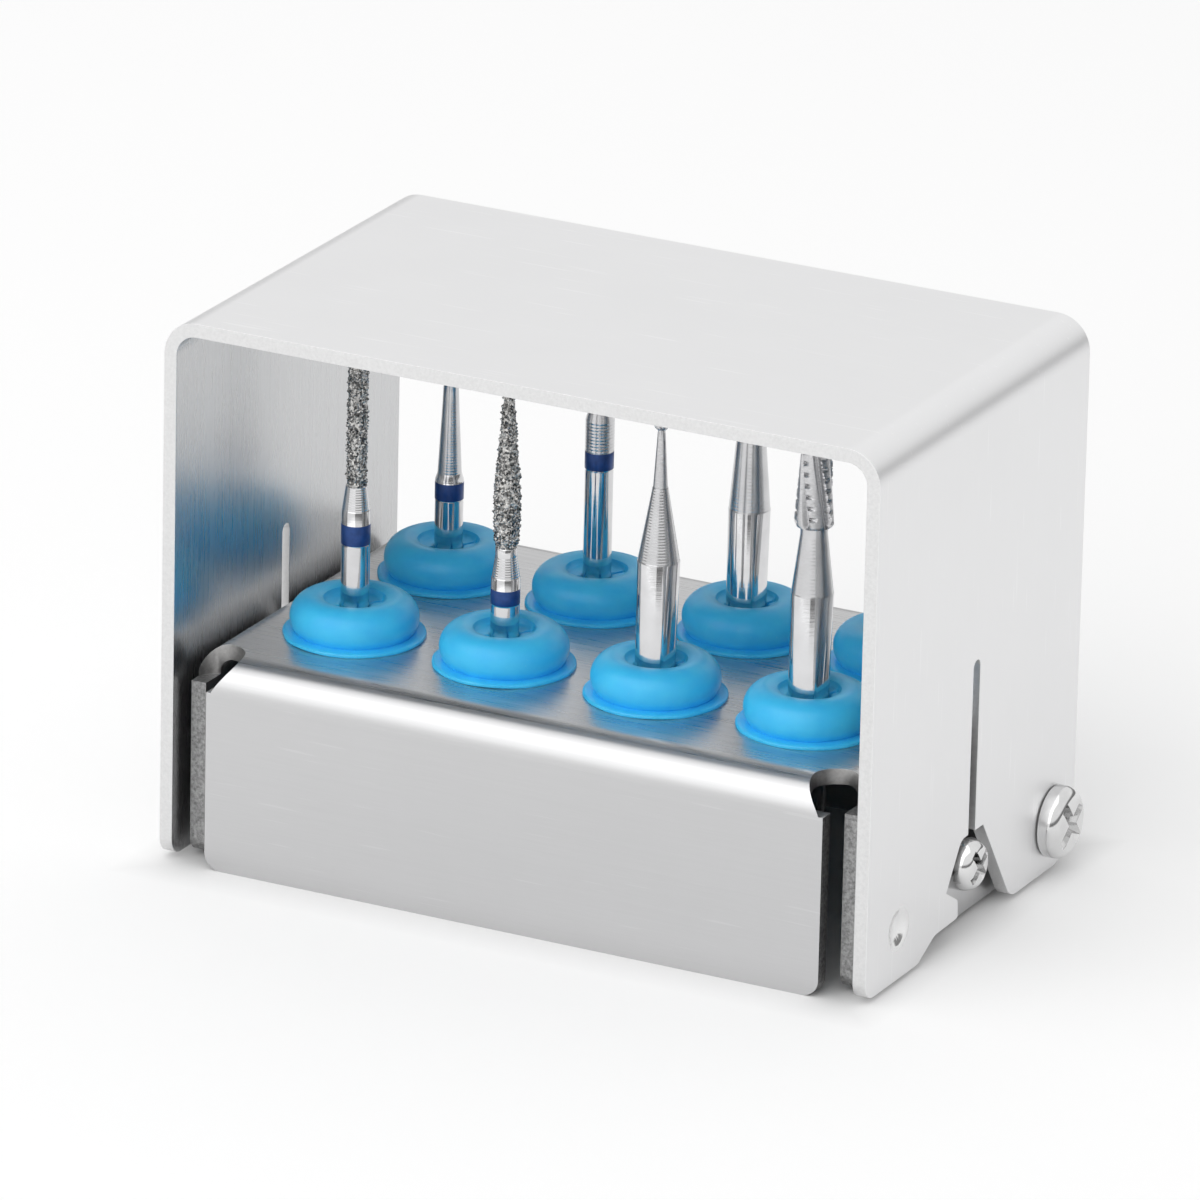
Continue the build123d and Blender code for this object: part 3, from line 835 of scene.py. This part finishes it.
def nutPiece(kind, size, side):
    node = f"{kind}_nut_{side}"
    low, high = (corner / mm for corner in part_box(node))
    centre = (low + high) / 2
    height = high.x - low.x
    corner = size["flats"] / sqrt(3)
    bore = size["bore"]
    shape = bmesh.new()
    bmesh.ops.create_cone(shape, cap_ends=True, segments=6, radius1=corner, radius2=corner, depth=height)
    hole = bmesh.new()
    bmesh.ops.create_cone(hole, cap_ends=True, segments=48, radius1=bore, radius2=bore, depth=height * 2)
    shape = cutOut(shape, hole)
    bmesh.ops.remove_doubles(shape, verts=shape.verts, dist=weld)
    breakEdges(shape, 50, 0.12)
    bmesh.ops.rotate(shape, cent=(0, 0, 0), matrix=Matrix.Rotation(pi / 2, 3, "Y"), verts=shape.verts)
    bmesh.ops.translate(shape, vec=centre, verts=shape.verts)
    addPiece(shape, f"{kind}Nut{side.capitalize()}", "base", [node], ["screwSteel"], 32)


for side in ("left", "right"):
    screwPiece("hinge", hingeScrew, side)
    screwPiece("stop", stopScrew, side)
    nutPiece("hinge", hingeNut, side)
    nutPiece("stop", stopNut, side)
print("stage: screws and nuts made")


# Floor, world, lamps and camera
studio = {
    "floorRadius": 3.0, "floorColour": 0.80, "lift": 0.19,
    "footHalfWidth": 0.0195, "footHalfDepth": 0.0125, "fade": 0.004,
    "ambient": 0.66, "reflected": 0.92, "horizonDark": 0.22, "horizonTop": 0.24, "lampAim": (0, 0, 0.015),
}


# The floor is lifted towards white for the camera and for reflections, but not under the block and only
# gradually beside it, which paints a fixed shadow of the block's footprint on the floor
def makeFloor():
    shape = bmesh.new()
    bmesh.ops.create_circle(shape, cap_ends=True, segments=96, radius=studio["floorRadius"])
    mesh = bpy.data.meshes.new("floor")
    shape.to_mesh(mesh)
    shape.free()
    s = newShader("paleFloor")
    camera = s.node("ShaderNodeLightPath", {}, {}, "Is Camera Ray")
    glossy = s.node("ShaderNodeLightPath", {}, {}, "Is Glossy Ray")
    here = s.node("ShaderNodeTexCoord", {}, {}, "Object")
    beside = s.axis(here, "X").absolute() - studio["footHalfWidth"]
    before = s.axis(here, "Y").absolute() - studio["footHalfDepth"]
    # Share of the lift outside the painted footprint shadow: none under the block, rising to all of it a few
    # millimetres out
    beyondPaintedShadow = (beside.math("MAXIMUM", beside, before) / studio["fade"]).clamped()
    level = studio["floorColour"]
    paint = s.node("ShaderNodeBsdfDiffuse", {}, {"Color": (level, level, level, 1)})
    glow = s.node("ShaderNodeEmission", {}, {"Strength": (camera + glossy).clamped() * beyondPaintedShadow * studio["lift"]})
    both = s.node("ShaderNodeAddShader", {}, {0: paint, 1: glow})
    s.node("ShaderNodeOutputMaterial", {}, {"Surface": both})
    mesh.materials.append(s.owner)
    floorObject = bpy.data.objects.new("floor", mesh)
    bpy.context.scene.collection.objects.link(floorObject)


def makeWorld():
    world = bpy.data.worlds.new("paleRoom")
    bpy.context.scene.world = world
    s = Shader(world)
    camera = s.node("ShaderNodeLightPath", {}, {}, "Is Camera Ray")
    glossy = s.node("ShaderNodeLightPath", {}, {}, "Is Glossy Ray")
    # Reflections find a dark band over the horizon, as between the lamps of a studio
    height = s.axis(s.node("ShaderNodeTexCoord", {}, {}, "Generated"), "Z")
    top = studio["horizonTop"]
    dark = studio["horizonDark"]
    ambient = studio["ambient"]
    room = s.ramp(height, (0.0, dark), (top * 0.6, dark), (top, studio["reflected"]))
    level = ambient + camera * (1 - ambient) + glossy * (room - ambient)
    background = s.node("ShaderNodeBackground", {}, {"Color": (1, 1, 1, 1), "Strength": level})
    s.node("ShaderNodeOutputWorld", {}, {"Surface": background})


lamps = {
    "topSoftbox": {"at": (-0.12, -0.22, 0.72), "size": 1.15, "watts": 2.5},
    "frontSoftbox": {"at": (-0.16, -0.74, 0.42), "size": 1.1, "watts": 2.75},
}


def makeLamps():
    for name, settings in lamps.items():
        light = bpy.data.lights.new(name, "AREA")
        light.size = settings["size"]
        light.energy = settings["watts"]
        lamp = bpy.data.objects.new(name, light)
        lamp.location = settings["at"]
        towards = Vector(studio["lampAim"]) - lamp.location
        lamp.rotation_euler = towards.to_track_quat("-Z", "Y").to_euler()
        bpy.context.scene.collection.objects.link(lamp)


# The photograph's viewpoint, worked out from the block's corners
view = {"azimuth": 26.911, "elevation": 20.152, "roll": 1.297, "distance": 0.706618,
        "aim": (-0.001132, -0.001004, 0.015171), "lens": 385.56, "sensor": 36.0}


def makeCamera():
    lens = bpy.data.cameras.new("photoView")
    lens.lens = view["lens"]
    lens.sensor_width = view["sensor"]
    lens.clip_start = 0.01
    lens.clip_end = 20
    camera = bpy.data.objects.new("photoView", lens)
    azimuth, elevation, roll = (radians(view[name]) for name in ("azimuth", "elevation", "roll"))
    tilt = Matrix.Rotation(pi / 2 - elevation, 3, "X") @ Matrix.Rotation(roll, 3, "Z")
    turn = Matrix.Rotation(azimuth, 3, "Z") @ tilt
    camera.rotation_euler = turn.to_euler()
    camera.location = Vector(view["aim"]) + turn @ Vector((0, 0, view["distance"]))
    bpy.context.scene.collection.objects.link(camera)
    bpy.context.scene.camera = camera


makeFloor()
makeWorld()
makeLamps()
makeCamera()
bpy.context.scene.view_settings.view_transform = "Standard"
print("stage: studio made")
